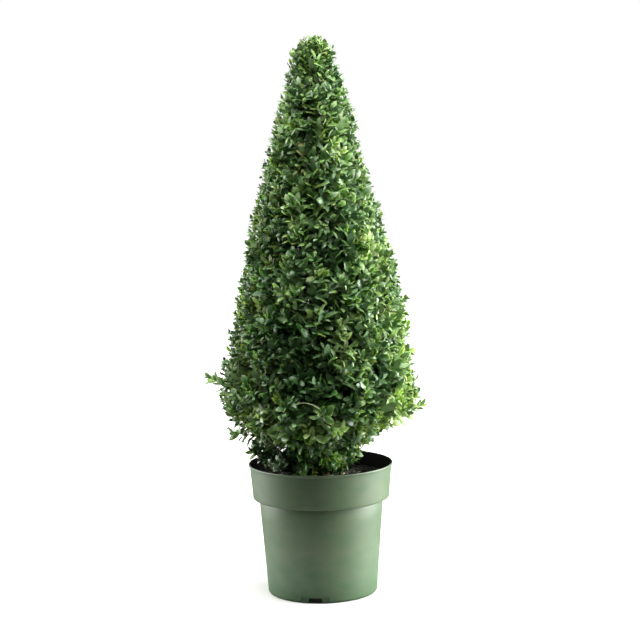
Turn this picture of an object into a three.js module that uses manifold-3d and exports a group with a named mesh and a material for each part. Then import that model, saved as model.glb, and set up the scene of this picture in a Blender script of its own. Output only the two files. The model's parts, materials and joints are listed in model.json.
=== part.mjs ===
// A boxwood clipped to a cone, growing in a round plastic nursery pot.
// Millimetres, +Z up. The origin is the middle of the pot's flat underside, and -Y is the front.
//
// The pot holds a block of potting mix. A short flared stem stands on the mix and ends in a fork
// inside the foliage. The clipped crown is a stack of dense leaf masses, one on another, whose side
// is a cone with a slight belly; below its widest level it turns in to a loose foot on the mix.
// A few shoots that the shears missed stand out of it, each as a small tapering sprig of its own.

import * as THREE from "three";
import { ImprovedNoise } from "three/addons/math/ImprovedNoise.js";
import { mergeVertices } from "three/addons/utils/BufferGeometryUtils.js";
import Module from "manifold-3d";

const wasm = await Module();
wasm.setup();

// ---------------------------------------------------------------- driving dimensions

const GAP = 0.4; // between pieces that touch

const POT = {
  height: 236,
  rimRadius: 130, // at the flared lip
  lipHeight: 6,
  bandTopRadius: 127.8,
  bandBottomRadius: 122.4,
  bandHeight: 60,
  shoulder: 5, // height of the step under the band
  neckRadius: 111.5,
  footRadius: 98.5,
  footRound: 4,
  wall: 2.2,
  floor: 3,
  sides: 48,
};

const DRAIN = {
  count: 3,
  firstAngle: -98, // degrees from +X, so the first one is a little left of the front
  width: 24,
  height: 9.5,
  reach: 13, // how far it runs in across the floor
  panelWidth: 52, // the shallow recess that each slot sits in
  panelHeight: 11,
  panelDepth: 0.9,
};

const SOIL = {
  level: 210,
  crown: 3, // how much higher it lies at the stem
  seatRadius: 26, // the level seat that the stem stands on
  rings: [0.88, 0.73, 0.57, 0.4], // shares of the mix's radius
  roughness: 2.2,
  lump: 24,
};

const STEM = {
  flareRadius: 19,
  radius: 11.5,
  forkRadius: 8.5,
  flareHeight: 16,
  height: 74,
  leanX: -5,
  leanY: 4,
  sides: 12,
  steps: 9,
};

const CROWN = {
  top: 993,
  tipRound: 22, // height of the rounded tip
  tipRadius: 32,
  skirt: 362, // level of the widest place
  skirtRadius: 181,
  belly: 7, // how far the clipped side bulges at half height
  // The underside, from the foot on the mix up to the skirt, as [radius, height].
  underside: [
    [58, SOIL.level + 6],
    [84, 247],
    [124, 287],
    [170, 328],
    [181, 362],
  ],
  footShift: -12, // the loose foot hangs a little to -X
  clippedRoughness: 5.5,
  looseRoughness: 10,
  patch: 55, // size of the bumps and hollows
  sides: 32,
  rowHeight: 25,
};

// A place on the right where the shears left the side fuller.
const FULLER = { angle: -10, height: 570, spread: 70, amount: 14 };

// The crown's masses from the foot up, each with the level where it ends.
const TIERS = [
  { name: "crown_foot", top: 300 },
  { name: "crown_skirt", top: 400 },
  { name: "crown_lower", top: 560 },
  { name: "crown_middle", top: 740 },
  { name: "crown_upper", top: 900 },
  { name: "crown_tip", top: CROWN.top },
];

// Shoots past the clipped face: angle in degrees from +X, height of the foot, length past the face, rise.
const SPRIGS = [
  { name: "sprig_left", angle: 184, height: 384, length: 27, rise: 6, radius: 14 },
  { name: "sprig_left_low", angle: 196, height: 299, length: 30, rise: -6, radius: 12 },
  { name: "sprig_left_rim", angle: 190, height: 262, length: 26, rise: -10, radius: 9 },
  { name: "sprig_right", angle: -8, height: 340, length: 22, rise: -7, radius: 12 },
  { name: "sprig_back_left", angle: 128, height: 352, length: 24, rise: 5, radius: 13 },
  { name: "sprig_back_right", angle: 52, height: 306, length: 25, rise: -5, radius: 12 },
];
const SPRIG_SIDES = 8;
const SPRIG_STEPS = 4;

// ---------------------------------------------------------------- materials

const finish = (color, roughness) =>
  new THREE.MeshStandardMaterial({ color, roughness, metalness: 0 });

const MATERIALS = {
  pot: finish("#7c977a", 0.5),
  soil: finish("#2b211a", 0.95),
  bark: finish("#8a7a5c", 0.85),
  foliage: finish("#3f6a2c", 0.6),
};

// ---------------------------------------------------------------- solids

function solidFrom(geometry) {
  const bare = new THREE.BufferGeometry()
    .setAttribute("position", geometry.getAttribute("position"))
    .setIndex(geometry.index);
  const merged = mergeVertices(bare, 1e-3);
  return new wasm.Manifold(
    new wasm.Mesh({
      numProp: 3,
      vertProperties: merged.getAttribute("position").array,
      triVerts: new Uint32Array(merged.index.array),
    }),
  );
}

function geometryFrom(solid) {
  const mesh = solid.getMesh();
  return new THREE.BufferGeometry()
    .setAttribute("position", new THREE.BufferAttribute(mesh.vertProperties, 3))
    .setIndex(new THREE.BufferAttribute(mesh.triVerts, 1));
}

// Moves every vertex of a geometry to where place(vertex) puts it.
function reshape(geometry, place) {
  const position = geometry.getAttribute("position");
  const vertex = new THREE.Vector3();
  for (let i = 0; i < position.count; i++) {
    vertex.fromBufferAttribute(position, i);
    place(vertex);
    position.setXYZ(i, vertex.x, vertex.y, vertex.z);
  }
  return geometry;
}

// A solid of revolution about +Z from [radius, height] points that start and end on the axis.
function turned(profile, sides) {
  const points = profile.map(([radius, height]) => new THREE.Vector2(radius, height));
  return new THREE.LatheGeometry(points, sides).rotateX(Math.PI / 2);
}

// A closed tapering limb: an upright cylinder carried along a curve, with its own radius at each place.
function limb(curve, radiusAt, sides, steps) {
  const column = new THREE.CylinderGeometry(1, 1, 1, sides, steps).rotateX(Math.PI / 2);
  const across = new THREE.Vector3();
  const side = new THREE.Vector3();
  const up = new THREE.Vector3(0, 0, 1);
  const front = new THREE.Vector3(0, 1, 0);
  return reshape(column, (vertex) => {
    const along = THREE.MathUtils.clamp(vertex.z + 0.5, 0, 1);
    const heading = curve.getTangentAt(along);
    side.crossVectors(Math.abs(heading.z) > 0.9 ? front : up, heading).normalize();
    across.crossVectors(heading, side);
    const radius = radiusAt(along);
    const { x, y } = vertex;
    vertex
      .copy(curve.getPointAt(along))
      .addScaledVector(side, x * radius)
      .addScaledVector(across, y * radius);
  });
}

const noise = new ImprovedNoise();

// From -1 to 1, the same for the same place, with bumps of about the given size.
function unevenness(point, size) {
  const [x, y, z] = [point.x / size, point.y / size, point.z / size];
  return noise.noise(x, y, z) + 0.5 * noise.noise(2.1 * x + 7, 2.1 * y, 2.1 * z);
}

// ---------------------------------------------------------------- pot

// Points of a quarter round in the pot's outer corner, from the underside up to the wall.
function footCorner() {
  const steps = 3;
  return Array.from({ length: steps + 1 }, (_, i) => {
    const turn = (i / steps) * (Math.PI / 2);
    return [
      POT.footRadius - POT.footRound * (1 - Math.sin(turn)),
      POT.footRound * (1 - Math.cos(turn)),
    ];
  });
}

const bandBottom = POT.height - POT.bandHeight;
const neck = bandBottom - POT.shoulder;
const lip = POT.height - POT.lipHeight;

// The inside of the wall from the floor up to the lip, as [radius, height]. The potting mix follows it.
const innerWall = [
  [POT.footRadius - POT.wall, POT.floor],
  [POT.neckRadius - POT.wall, neck + POT.wall],
  [POT.bandBottomRadius - POT.wall, bandBottom + POT.wall],
  [POT.bandTopRadius - POT.wall, lip - 2],
];

function innerRadius(height) {
  const above = innerWall.findIndex(([, level]) => level >= height);
  const upper = above < 1 ? 1 : above;
  const [lowRadius, lowLevel] = innerWall[upper - 1];
  const [highRadius, highLevel] = innerWall[upper];
  return THREE.MathUtils.mapLinear(height, lowLevel, highLevel, lowRadius, highRadius);
}

function potBody() {
  return solidFrom(
    turned(
      [
        [0, 0],
        ...footCorner(),
        [POT.neckRadius, neck],
        [POT.neckRadius + 5, neck + 1],
        [POT.bandBottomRadius, bandBottom],
        [POT.bandTopRadius, lip],
        [POT.rimRadius - 0.5, lip + 2],
        [POT.rimRadius, POT.height - 1.2],
        [POT.rimRadius - 1.2, POT.height],
        [POT.bandTopRadius - POT.wall + 1, POT.height],
        ...innerWall.toReversed(),
        [0, POT.floor],
      ],
      POT.sides,
    ),
  );
}

// A block across the pot's foot at a drain, from one radius out past the wall.
function drainBlock(angle, width, height, innerEdge) {
  const outerEdge = POT.footRadius + POT.footRound;
  const length = outerEdge - innerEdge;
  const block = new THREE.BoxGeometry(length, width, 2 * height);
  block.translate(innerEdge + length / 2, 0, 0).rotateZ(THREE.MathUtils.degToRad(angle));
  return solidFrom(block);
}

function pot() {
  let body = potBody();
  for (let i = 0; i < DRAIN.count; i++) {
    const angle = DRAIN.firstAngle + (i * 360) / DRAIN.count;
    const slotEdge = POT.footRadius - DRAIN.reach;
    const panelEdge = POT.footRadius - DRAIN.panelDepth;
    body = body
      .subtract(drainBlock(angle, DRAIN.width, DRAIN.height, slotEdge))
      .subtract(drainBlock(angle, DRAIN.panelWidth, DRAIN.panelHeight, panelEdge));
  }
  return geometryFrom(body);
}

// ---------------------------------------------------------------- potting mix and stem

function soil() {
  const seatTop = SOIL.level + SOIL.crown;
  const side = [POT.floor, neck + POT.wall, bandBottom + POT.wall, SOIL.level];
  const [bottom, ...rows] = side.map((level) => [innerRadius(level) - GAP, level]);
  const surface = SOIL.rings.map((share) => [
    rows.at(-1)[0] * share,
    THREE.MathUtils.mapLinear(share, 1, 0, SOIL.level, seatTop),
  ]);
  const block = turned(
    [
      [0, POT.floor + GAP],
      [bottom[0], POT.floor + GAP],
      ...rows,
      ...surface,
      [SOIL.seatRadius, seatTop],
      [0, seatTop],
    ],
    POT.sides,
  );
  return reshape(block, (vertex) => {
    const radius = Math.hypot(vertex.x, vertex.y);
    if (vertex.z > SOIL.level - 1 && radius > SOIL.seatRadius + 1) {
      vertex.z += SOIL.roughness * unevenness(vertex, SOIL.lump);
    }
  });
}

const stemFoot = SOIL.level + SOIL.crown + GAP;

const stemCurve = new THREE.CatmullRomCurve3([
  new THREE.Vector3(0, 0, stemFoot),
  new THREE.Vector3(0, 0, stemFoot + STEM.height * 0.3),
  new THREE.Vector3(STEM.leanX * 0.4, STEM.leanY * 0.6, stemFoot + STEM.height * 0.65),
  new THREE.Vector3(STEM.leanX, STEM.leanY, stemFoot + STEM.height),
]);

// The root flare dies away over its height, and the stem tapers from there to the fork.
function stemRadius(along) {
  const flare = Math.exp((-along * STEM.height) / (STEM.flareHeight / 2));
  const shaft = THREE.MathUtils.lerp(STEM.radius, STEM.forkRadius, along);
  return shaft + (STEM.flareRadius - STEM.radius) * flare;
}

function stem(extra = 0) {
  const column = limb(stemCurve, (along) => stemRadius(along) + extra, STEM.sides, STEM.steps);
  if (extra === 0) {
    // The cut at ground level is level and flat.
    reshape(column, (vertex) => {
      if (vertex.z < stemFoot + 0.5) vertex.z = stemFoot;
    });
  }
  return column;
}

// ---------------------------------------------------------------- crown

const undersideCurve = new THREE.SplineCurve(
  CROWN.underside.map(([radius, height]) => new THREE.Vector2(radius, height)),
);

function undersideRadius(height) {
  const points = undersideCurve.getPoints(60);
  const above = points.findIndex((point) => point.y >= height);
  if (above <= 0) return points[0].x;
  const [low, high] = [points[above - 1], points[above]];
  return THREE.MathUtils.mapLinear(height, low.y, high.y, low.x, high.x);
}

function crownRadius(height) {
  if (height < CROWN.skirt) return undersideRadius(height);
  const rise = (height - CROWN.skirt) / (CROWN.top - CROWN.skirt);
  const side =
    THREE.MathUtils.lerp(CROWN.skirtRadius, CROWN.tipRadius, rise) +
    CROWN.belly * Math.sin(Math.PI * rise);
  const intoTip = Math.max(0, (height - (CROWN.top - CROWN.tipRound)) / CROWN.tipRound);
  return side * Math.sqrt(Math.max(0, 1 - intoTip * intoTip));
}

// How far the crown's middle stands off the pot's axis: only the loose foot hangs to one side.
function crownShift(height) {
  const loose = THREE.MathUtils.clamp((CROWN.skirt - height) / (CROWN.skirt - 270), 0, 1);
  return CROWN.footShift * loose * (height > POT.height ? 1 : 0.4);
}

function roughnessAt(height) {
  const loose = THREE.MathUtils.smoothstep(CROWN.skirt - height, -20, 50);
  return THREE.MathUtils.lerp(CROWN.clippedRoughness, CROWN.looseRoughness, loose);
}

// Rows of [radius, height] up a tier's side, closed across its level cuts to the axis.
function tierProfile(bottom, top) {
  const rows = Math.max(3, Math.round((top - bottom) / CROWN.rowHeight));
  const side = [];
  for (let i = 0; i <= rows; i++) {
    const height = THREE.MathUtils.lerp(bottom, top, i / rows);
    side.push([crownRadius(height), height]);
  }
  if (top < CROWN.top) return [[0, bottom], ...side, [0, top]];
  const rounded = [0.35, 0.65, 0.88].map((share) => {
    const height = CROWN.top - CROWN.tipRound * (1 - share);
    return [crownRadius(height), height];
  });
  const below = side.filter(([, height]) => height < CROWN.top - CROWN.tipRound * 0.9);
  return [[0, bottom], ...below, ...rounded, [0, top]];
}

// How far the crown's side stands out from its plain turned shape at a point on it.
function bump(point) {
  const radius = Math.hypot(point.x, point.y);
  const slimTip = Math.min(1, radius / 60); // which is bumped less
  const turn = THREE.MathUtils.degToRad(FULLER.angle);
  const aside = Math.hypot(point.x - radius * Math.cos(turn), point.y - radius * Math.sin(turn));
  const away = Math.hypot(aside, point.z - FULLER.height) / FULLER.spread;
  return (
    roughnessAt(point.z) * unevenness(point, CROWN.patch) * slimTip +
    FULLER.amount * Math.exp(-away * away)
  );
}

function crownTier(bottom, top) {
  const body = turned(tierProfile(bottom, top), CROWN.sides);
  reshape(body, (vertex) => {
    const radius = Math.hypot(vertex.x, vertex.y);
    if (radius > 1) {
      const scale = (radius + bump(vertex)) / radius;
      vertex.x *= scale;
      vertex.y *= scale;
    }
    vertex.x += crownShift(vertex.z);
  });
  return solidFrom(body);
}

function crownMass(bottom, top) {
  const swollenStem = solidFrom(stem(GAP));
  const bore = swollenStem.add(swollenStem.translate([0, 0, GAP])); // clear of the stem's top too
  return geometryFrom(crownTier(bottom, top).subtract(bore));
}

// The crown's side at an angle and height, bumps included.
function crownFace(angle, height) {
  const turn = THREE.MathUtils.degToRad(angle);
  const outward = new THREE.Vector3(Math.cos(turn), Math.sin(turn), 0);
  const face = outward.clone().multiplyScalar(crownRadius(height));
  face.z = height;
  face.addScaledVector(outward, bump(face));
  face.x += crownShift(height);
  return { face, outward };
}

// A tapering sprig that starts inside the crown and is cut back to its face.
function sprig({ angle, height, length, rise, radius }) {
  const { face, outward } = crownFace(angle, height);
  const root = 12; // how far inside the face it starts, before the cut
  const reach = new THREE.CatmullRomCurve3([
    face.clone().addScaledVector(outward, -root),
    face.clone().addScaledVector(outward, length * 0.4),
    face.clone().addScaledVector(outward, length).setZ(height + rise),
  ]);
  const body = limb(
    reach,
    (along) => radius * (1 - 0.72 * along * along),
    SPRIG_SIDES,
    SPRIG_STEPS,
  );
  return solidFrom(body);
}

// Everything that a sprig is cut back to: the crown's tiers, swollen by the gap.
function crownEnvelope() {
  let lower = SOIL.level + SOIL.crown + 3;
  const swollen = TIERS.map(({ top }) => {
    const tier = crownTier(lower, top);
    lower = top;
    const middle = (tier.boundingBox().min[0] + tier.boundingBox().max[0]) / 2;
    const growth = 1 + GAP / 100;
    return tier
      .translate([-middle, 0, 0])
      .scale([growth, growth, 1])
      .translate([middle, 0, 0]);
  });
  return swollen.reduce((whole, tier) => whole.add(tier));
}

// ---------------------------------------------------------------- assembly

const plant = new THREE.Group();

function addPiece(name, geometry, material) {
  const mesh = new THREE.Mesh(geometry, material);
  mesh.name = name;
  plant.add(mesh);
}

addPiece("pot", pot(), MATERIALS.pot);
addPiece("potting_mix", soil(), MATERIALS.soil);
addPiece("stem", stem(), MATERIALS.bark);

let tierBottom = SOIL.level + SOIL.crown + 3;
for (const { name, top } of TIERS) {
  addPiece(name, crownMass(tierBottom, top), MATERIALS.foliage);
  tierBottom = top + GAP;
}

const envelope = crownEnvelope();
for (const spec of SPRIGS) {
  addPiece(spec.name, geometryFrom(sprig(spec).subtract(envelope)), MATERIALS.foliage);
}

export default plant;
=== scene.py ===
# %% [markdown]
# # A boxwood cone in its nursery pot
#
# The plant is common boxwood, a shrub with small glossy leaves in opposite pairs, clipped to a tall
# cone and grown in a round moulded pot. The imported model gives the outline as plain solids: a pot, a
# block of potting mix, a short stem and a stack of leaf masses. Here each mass is replaced by boughs,
# twigs and leaves that grow on from the stem, inside the outline of that mass.

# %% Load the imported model
import json
import math
import random

import bmesh
import bpy
import numpy as np
from mathutils import Matrix, Vector, noise
from mathutils.bvhtree import BVHTree

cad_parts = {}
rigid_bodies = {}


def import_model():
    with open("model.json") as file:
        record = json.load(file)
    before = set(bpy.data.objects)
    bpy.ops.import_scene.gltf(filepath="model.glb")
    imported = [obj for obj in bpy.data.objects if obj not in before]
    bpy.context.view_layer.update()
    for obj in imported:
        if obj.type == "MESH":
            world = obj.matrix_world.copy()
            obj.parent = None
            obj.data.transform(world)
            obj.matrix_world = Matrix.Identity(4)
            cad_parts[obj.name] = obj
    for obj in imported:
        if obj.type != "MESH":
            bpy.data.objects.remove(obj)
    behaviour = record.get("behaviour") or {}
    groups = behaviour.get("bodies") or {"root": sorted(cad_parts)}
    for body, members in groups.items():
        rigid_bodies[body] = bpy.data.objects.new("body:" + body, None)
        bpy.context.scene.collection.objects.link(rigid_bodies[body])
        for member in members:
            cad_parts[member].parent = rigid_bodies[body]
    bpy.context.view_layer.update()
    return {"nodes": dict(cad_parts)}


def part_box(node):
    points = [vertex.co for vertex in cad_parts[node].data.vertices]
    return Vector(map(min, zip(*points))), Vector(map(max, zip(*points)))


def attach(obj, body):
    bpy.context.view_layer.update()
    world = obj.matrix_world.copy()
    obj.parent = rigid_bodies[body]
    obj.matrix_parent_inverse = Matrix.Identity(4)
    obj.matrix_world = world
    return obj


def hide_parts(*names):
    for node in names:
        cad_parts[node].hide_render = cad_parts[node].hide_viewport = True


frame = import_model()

MM = 0.001
UP = Vector((0, 0, 1))
scene = bpy.context.scene
scene.view_settings.view_transform = "Standard"

# %% [markdown]
# ## Helpers
#
# Colours are written as they look on a screen and turned to the linear values that the renderer works
# in. One function adds any node with its settings and links, for materials and for Geometry Nodes.

# %% Colours, nodes and materials
def linear(hex_colour):
    """A colour such as "#40602a" as linear red, green, blue and an alpha of 1."""
    channels = [int(hex_colour[i : i + 2], 16) / 255 for i in (1, 3, 5)]
    return [c / 12.92 if c <= 0.04045 else ((c + 0.055) / 1.055) ** 2.4 for c in channels] + [1.0]


def add_node(tree, kind, inputs=None, **settings):
    """Adds a node. Each input is a node, for its first output in use, or an output, or a value."""
    node = tree.nodes.new(kind)
    for name, value in settings.items():
        setattr(node, name, value)
    for key, value in (inputs or {}).items():
        if isinstance(value, bpy.types.Node):
            value = next(socket for socket in value.outputs if socket.enabled)
        if isinstance(value, bpy.types.NodeSocket):
            tree.links.new(value, node.inputs[key])
        else:
            node.inputs[key].default_value = value
    return node


def new_material(name, colour, roughness, **sockets):
    """A material with one Principled surface. The other sockets are given by name."""
    material = bpy.data.materials.new(name)
    material.use_nodes = True
    material.diffuse_color = linear(colour)
    inputs = material.node_tree.nodes["Principled BSDF"].inputs
    inputs["Base Color"].default_value = linear(colour)
    inputs["Roughness"].default_value = roughness
    for socket, value in sockets.items():
        inputs[socket.replace("_", " ")].default_value = value
    return material


def add_pattern(material, tint_by, colours, span, raise_by, strength, depth):
    """Tints a surface from one colour to another over a span of one value, and raises it by another."""
    tree = material.node_tree
    surface = tree.nodes["Principled BSDF"]
    tint = add_node(tree, "ShaderNodeValToRGB", {"Fac": tint_by})
    for stop, colour, position in zip(tint.color_ramp.elements, colours, span):
        stop.color = linear(colour)
        stop.position = position
    relief = add_node(tree, "ShaderNodeBump", {"Height": raise_by, "Strength": strength, "Distance": depth})
    tree.links.new(tint.outputs["Color"], surface.inputs["Base Color"])
    tree.links.new(relief.outputs["Normal"], surface.inputs["Normal"])


# %% Meshes and pieces
def new_mesh(name, vertices, faces, edges=()):
    mesh = bpy.data.meshes.new(name)
    mesh.from_pydata([tuple(v) for v in vertices], list(edges), faces)
    mesh.update()
    return mesh


def new_object(name, mesh, materials=()):
    piece = bpy.data.objects.new(name, mesh)
    scene.collection.objects.link(piece)
    for material in materials:
        mesh.materials.append(material)
    return piece


def set_attribute(mesh, name, kind, domain, values):
    attribute = mesh.attributes.new(name, kind, domain)
    attribute.data.foreach_set("value", values)


def triangles(piece):
    piece.data.calc_loop_triangles()
    return len(piece.data.loop_triangles)


# %% Geometry Nodes trees
def new_geometry_tree(name, inputs):
    """A tree with named inputs, each a kind and a default, and the sockets that bring them in."""
    tree = bpy.data.node_groups.new(name, "GeometryNodeTree")
    tree.interface.new_socket(name="Geometry", in_out="OUTPUT", socket_type="NodeSocketGeometry")
    for key, (kind, default) in {"Geometry": ("Geometry", None), **inputs}.items():
        socket = tree.interface.new_socket(name=key, in_out="INPUT", socket_type="NodeSocket" + kind)
        if default is not None:
            socket.default_value = default
    return tree, add_node(tree, "NodeGroupInput").outputs


def made_by_nodes(name, guide, tree, values):
    """Runs a tree on a guide object and returns what it makes as a plain mesh object."""
    modifier = guide.modifiers.new(tree.name, "NODES")
    modifier.node_group = tree
    for socket in tree.interface.items_tree:
        if socket.in_out == "INPUT" and socket.name in values:
            modifier[socket.identifier] = values[socket.name]
    depsgraph = bpy.context.evaluated_depsgraph_get()
    depsgraph.update()
    mesh = bpy.data.meshes.new_from_object(guide.evaluated_get(depsgraph))
    guide.modifiers.remove(modifier)
    bpy.data.objects.remove(guide)
    mesh.name = name
    return new_object(name, mesh)


def remove_attributes(piece, names):
    """Takes off the attributes that only served the tree."""
    for name in names:
        if name in piece.data.attributes:
            piece.data.attributes.remove(piece.data.attributes[name])


# %% Places and curves
def level_way(angle):
    """The level direction away from the stem at an angle round it."""
    return Vector((math.cos(angle), math.sin(angle), 0))


def off_axis(point):
    return math.hypot(point.x, point.y)


def ramp(value, start, end):
    """0 at the start to 1 at the end, and flat beyond both."""
    return min(1, max(0, (value - start) / (end - start)))


def curved(start, bend, end, steps):
    """Points along a smooth curve from start to end, which is drawn towards a bend."""
    points = []
    for i in range(steps + 1):
        t = i / steps
        points.append((1 - t) ** 2 * start + 2 * t * (1 - t) * bend + t * t * end)
    return points


# %% [markdown]
# ## The clipped outline
#
# The shears set where the leaves end, so the outline comes first. A formula could give it, but the
# packed leaf masses already carry it with all its unevenness, so it is read from them: a level ray from
# outside towards the stem finds the outline at any angle and height.

# %% Rays on to the leaf masses
MASSES = ["crown_foot", "crown_skirt", "crown_lower", "crown_middle", "crown_upper", "crown_tip"]
SPRIGS = sorted(name for name in frame["nodes"] if name.startswith("sprig"))
JOINT_STEP = 1.5 * MM  # past the thin gap between two masses


def surface_tree(names):
    corners, faces = [], []
    for name in names:
        mesh = frame["nodes"][name].data
        start = len(corners)
        corners += [vertex.co.copy() for vertex in mesh.vertices]
        faces += [[start + i for i in polygon.vertices] for polygon in mesh.polygons]
    return BVHTree.FromPolygons(corners, faces)


outline = surface_tree(MASSES)
MASS_TOPS = [(name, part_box(name)[1].z) for name in MASSES]
crown_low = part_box("crown_foot")[0].z
crown_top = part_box("crown_tip")[1].z
POT_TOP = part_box("pot")[1].z


def outline_at(angle, height):
    """The point on the crown's side at an angle and a height, and the way it faces."""
    outward = level_way(angle)
    for nudge in (0, JOINT_STEP, -JOINT_STEP):
        start = outward + Vector((0, 0, height + nudge))
        point, normal, _, _ = outline.ray_cast(start, -outward, 1)
        if point and abs(normal.z) < 0.99:
            return point, normal
    return None, None


def mean_radius(height, rays=16):
    hits = [outline_at(step * math.tau / rays, height)[0] for step in range(rays)]
    radii = [off_axis(point) for point in hits if point]
    return sum(radii) / len(radii)


def mass_at(height):
    """The leaf mass that a height belongs to."""
    for name, top in MASS_TOPS:
        if height <= top + JOINT_STEP:
            return name
    return MASSES[-1]


def height_share(height):
    """0 at the crown's foot to 1 at its tip."""
    return (height - crown_low) / (crown_top - crown_low)


SKIRT_RADIUS = mean_radius(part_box("crown_skirt")[0].z + 70 * MM)
print("crown from", round(crown_low, 3), "to", round(crown_top, 3), "m, radius", round(SKIRT_RADIUS, 3), "m")

# %% [markdown]
# ## Colours of the leaves
#
# Boxwood is dark green when mature, lighter while it is young, and dull in the shade inside. A few
# sprays dry to bronze. Colours are dealt out by spray, because that is how the plant has them: a shoot's
# leaves are all of one age. Where a spray stands also sets its group, and that part is painted light and
# shade: lighter on the lit right and high in front, darker on the left and low down. Each group is one plain
# material.

# %% Colour groups
# The groups from SHADED to YELLOW run from old to young. No spray is yellow all over: it is the colour
# of the ends of the youngest ones.
SHADED, DEEP, DARK, MID, FRESH, YOUNGEST, YELLOW, OLIVE, BRONZE = range(9)
TONES = {  # colour of the flesh, and IOR of the wax, which shines most on full-grown leaves in the light
    "leaf_shaded_green": ("#204b0d", 1.3),
    "leaf_deep_green": ("#2f5b1f", 1.65),
    "leaf_dark_green": ("#436d2f", 1.72),
    "leaf_mid_green": ("#597f46", 1.76),
    "leaf_fresh_green": ("#71964c", 1.74),
    "leaf_young_green": ("#8fab5b", 1.65),
    "leaf_yellow_green": ("#88a442", 1.5),
    "leaf_olive_green": ("#526a28", 1.45),
    "leaf_bronze": ("#7a7a44", 1.5),
}
print(len(TONES), "colour groups")

# %% [markdown]
# ## Shoots
#
# A shoot is this year's growth: a thin green stem with pairs of leaves that ends in a small star. After
# clipping, every cut shoot branches, so the stars lie close together all over the cone. Shoots could be
# thrown at the side at random, but that leaves bald places. A golden angle spiral over equal areas
# spreads them without rows, and a seeded jitter hides the spiral. A slow noise pushes some of them
# deeper, which gives the dark hollows that a hand-clipped plant has.

# %% One shoot
rng = random.Random(41)
GOLDEN_ANGLE = math.pi * (3 - math.sqrt(5))
SPRIG_MASS, INSIDE = "sprigs", "inside"
FOOT_SHARE = 0.82  # of the outline's radius, for the foot of a shoot
ABOVE_ALL = 60 * MM  # the radius to use above the crown's top


def jitter(width):
    return Vector([rng.gauss(0, width) for _ in range(3)])


def drawn_inside(point):
    """A point moved towards the stem until it lies well inside the outline at its own height."""
    level = max(point.z, crown_low + 6 * MM)
    side, _ = outline_at(math.atan2(point.y, point.x), level)
    edge = off_axis(side) if side else ABOVE_ALL
    share = min(1, FOOT_SHARE * edge / max(off_axis(point), 1 * MM))
    return Vector((point.x * share, point.y * share, level))


class Shoot:
    """One leafy shoot, from base to tip, with the colour group of its spray."""

    def __init__(self, tip, heading, length, mass, sag=0.12, vigour=None):
        self.tip = tip
        self.heading = heading.normalized()
        self.length = length
        self.mass = mass
        inward = Vector((tip.x, tip.y, 0)) * -1
        inward = inward.normalized() if inward.length > 0 else -UP
        self.base = drawn_inside(tip - self.heading * length + (inward * 0.3 - UP) * sag * length)
        self.tone = SHADED  # until it is dealt another
        self.young = 0  # 1 where the leaves at the end are one colour group younger
        self.thickness = rng.uniform(0.5, 0.75) * MM
        self.phase = rng.uniform(0, math.tau)
        self.vigour = vigour or rng.triangular(0.72, 1.3, 0.95)  # size of the leaves
        self.pace = 1.0  # distance between the pairs

    def path(self):
        """Points from base to tip: it leaves the bough sideways and turns up to the light."""
        return curved(self.base, self.tip - self.heading * self.length * 0.45, self.tip, 4)


# %% Even places and hollows
HOLLOW_SIZE = 27 * MM
HOLLOW_DEPTH = 24 * MM
THIN_PLACE = Vector((-48, -155, 425)) * MM  # low in front, left of the middle
THIN_SIZE = 105 * MM
levels = np.arange(crown_low + 2 * MM, crown_top - 20 * MM, 2 * MM)
level_radii = np.array([mean_radius(level) for level in levels])
slant = np.hypot(np.diff(levels), np.diff(level_radii))
area_below = np.cumsum(slant * (level_radii[1:] + level_radii[:-1]) / 2 * math.tau)
area_below = np.concatenate([[0], area_below])
print("crown side", round(area_below[-1], 3), "square metres")


def even_heights(count):
    """Heights that split the crown's side into equal areas."""
    return np.interp((np.arange(count) + 0.5) / count * area_below[-1], area_below, levels)


def hollow_at(point):
    """0 on the clipped face to 1 in the middle of a hollow."""
    return ramp(noise.noise(point / HOLLOW_SIZE), 0, 0.32)


def thin_at(point):
    """1 in the middle of the thin, dark place low in front, 0 outside it."""
    return max(0, 1 - (point - THIN_PLACE).length / THIN_SIZE)


# %% [markdown]
# Light and shears shape each side. The left was clipped closest and has small leaves, the front has the
# largest, and under the skirt, where it is dark, shoots are few and grow level. Near the tip they stand
# upright.

# %% Shoots over the clipped side
SHOOTS = 1900
FULL_LENGTH_RADIUS = 110 * MM  # where the crown is thinner than this, shoots are shorter


def plan_side_shoots():
    shoots = []
    for k, height in enumerate(even_heights(SHOOTS)):
        angle = k * GOLDEN_ANGLE + rng.gauss(0, 0.05)
        point, normal = outline_at(angle, height + rng.gauss(0, 4 * MM))
        if point is None:
            continue
        left, right, front = max(0, -math.cos(angle)), max(0, math.cos(angle)), max(0, -math.sin(angle))
        share = height_share(point.z)
        under, upper, near_top = ramp(-normal.z, 0.1, 0.6), ramp(share, 0.4, 0.7), ramp(share, 0.85, 1)
        hollow = hollow_at(point) * (1 - 0.6 * under) * (1 - 0.6 * right) * (1 - 0.75 * upper)
        if rng.random() < (0.12 + 0.25 * left) * under + 0.35 * hollow:
            continue
        lift = 0.9 - 0.7 * under + 2 * near_top
        heading = (normal * 0.3 + level_way(angle) * 0.35 + UP * lift + jitter(0.32)).normalized()
        inset = (rng.triangular(0, 16, 5) * (1 - 0.6 * left) + 8 * under) * MM
        inset += (hollow + 0.5 * thin_at(point)) * HOLLOW_DEPTH
        length = rng.uniform(44, 70) * MM
        length *= min(1.0, 0.45 + off_axis(point) / FULL_LENGTH_RADIUS)
        shoot = Shoot(point - normal * inset, heading, length, mass_at(point.z))
        smaller = 0.34 * left + (0.18 + 0.12 * upper) * right + 0.12 * near_top
        larger = (0.22 + 0.12 * upper) * front * (1 - under)
        shoot.vigour *= 1 + larger - smaller - 0.14 * under
        shoot.pace = 1 - 0.8 * smaller
        shoots.append(shoot)
    return shoots


shoots = plan_side_shoots()
print(len(shoots), "shoots on the side")

# %% Shoots at the tip
TIP_SHOOTS = 80


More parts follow.
